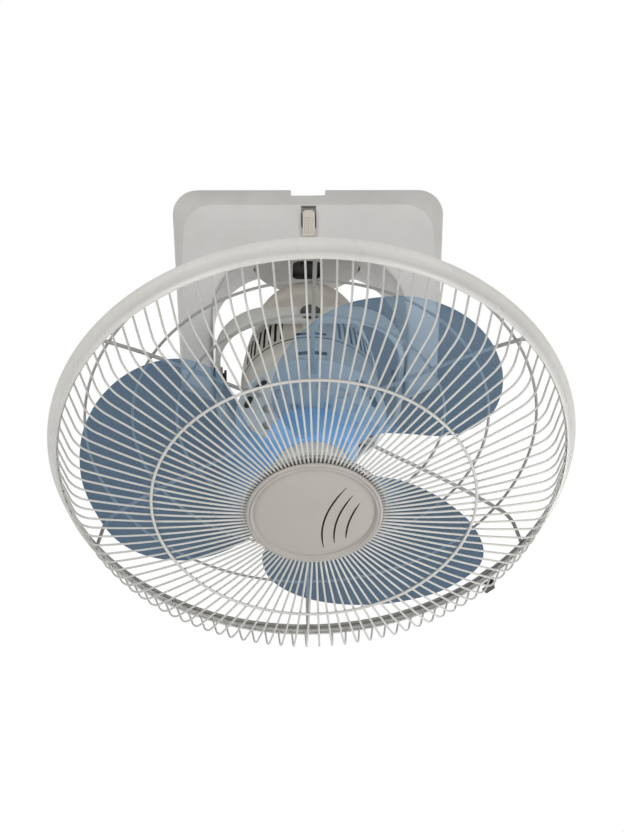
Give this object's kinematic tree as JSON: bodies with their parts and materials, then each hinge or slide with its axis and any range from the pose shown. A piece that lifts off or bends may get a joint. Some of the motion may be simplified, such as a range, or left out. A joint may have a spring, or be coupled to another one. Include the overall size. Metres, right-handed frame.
{
  "type": "orbiting wall fan",
  "caption": "Oscillating fan hung from a wall or ceiling base: gimballed motor head, translucent blades and a round wire guard, with an orbit drive in the base.",
  "frame": {"origin": "middle of the mounting plate's upper face, in the plane that goes against the mounting surface", "axes": "+Z out of the base into the mounting surface, -Y the way the fan faces"},
  "size_m": [0.4546, 0.3537, 0.4105],
  "materials": {
    "housing_grey": "satin",
    "motor_beige": "satin",
    "ring_grey": "satin",
    "wire_grey": "gloss",
    "rear_wire_grey": "gloss",
    "steel": "brushed",
    "dark_steel": "plain",
    "black_plastic": "satin",
    "lever_beige": "satin",
    "cap_beige": "satin",
    "terminal_cream": "satin",
    "grommet_rubber": "matte",
    "copper": "varnished",
    "blade_blue": "gloss, translucent",
    "nut_white": "gloss"
  },
  "bodies": {
    "base": {"base_housing": "housing_grey", "mounting_plate": "steel", "cable_grommet": "grommet_rubber", "terminal_block": "terminal_cream", "spring_seat": "housing_grey", "orbit_motor": "steel", "orbit_bracket": "steel", "orbit_motor_screws": "steel", "tilt_pins": "dark_steel", "lever_spring": "steel"},
    "lever": {"release_lever": "lever_beige"},
    "crank_body": {"crank": "dark_steel"},
    "gimbal": {"gimbal_ring": "ring_grey", "gimbal_bushes": "black_plastic"},
    "head": {"motor_rear_cover": "motor_beige", "motor_front_cover": "motor_beige", "cover_screws": "steel", "stator_core": "dark_steel", "windings": "copper", "bearings": "steel", "rear_stem": "steel", "swing_pins": "dark_steel", "rear_plate": "rear_wire_grey", "rear_ribs": "rear_wire_grey", "rear_rings": "rear_wire_grey", "rear_edge_ring": "rear_wire_grey", "rim_hoop": "wire_grey", "front_edge_ring": "wire_grey", "front_wires": "wire_grey", "front_ring": "wire_grey", "inner_ring": "wire_grey", "rim_clip": "black_plastic", "cap_plate": "cap_beige", "cap_screw": "steel", "centre_cap": "cap_beige"},
    "fan": {"motor_shaft": "steel", "rotor": "dark_steel", "drive_pin": "steel", "blade_set": "blade_blue", "spinner_nut": "nut_white"}
  },
  "joints": [
    {"name": "gimbal_tilt", "type": "hinge", "parent": "base", "child": "gimbal", "pos_m": [0, -0.038, -0.169], "axis": [1, 0, 0], "range_deg": [0, 42]},
    {"name": "head_swing", "type": "hinge", "parent": "gimbal", "child": "head", "pos_m": [0, -0.038, -0.169], "axis": [0, -0.7431, 0.6691], "range_deg": [-20, 20]},
    {"name": "fan_spin", "type": "hinge", "parent": "head", "child": "fan", "pos_m": [0, -0.038, -0.169], "axis": [0, -0.6691, -0.7431], "continuous": true},
    {"name": "crank_spin", "type": "hinge", "parent": "base", "child": "crank_body", "pos_m": [0, -0.038, -0.169], "axis": [0, 0.3584, 0.9336], "continuous": true},
    {"name": "lever_slide", "type": "slide", "parent": "base", "child": "lever", "axis": [0, 0, -1], "range_m": [0, 0.006], "stiffness_N_per_m": 200, "springref_m": -0.004, "deforming": ["lever_spring"]}
  ]
}
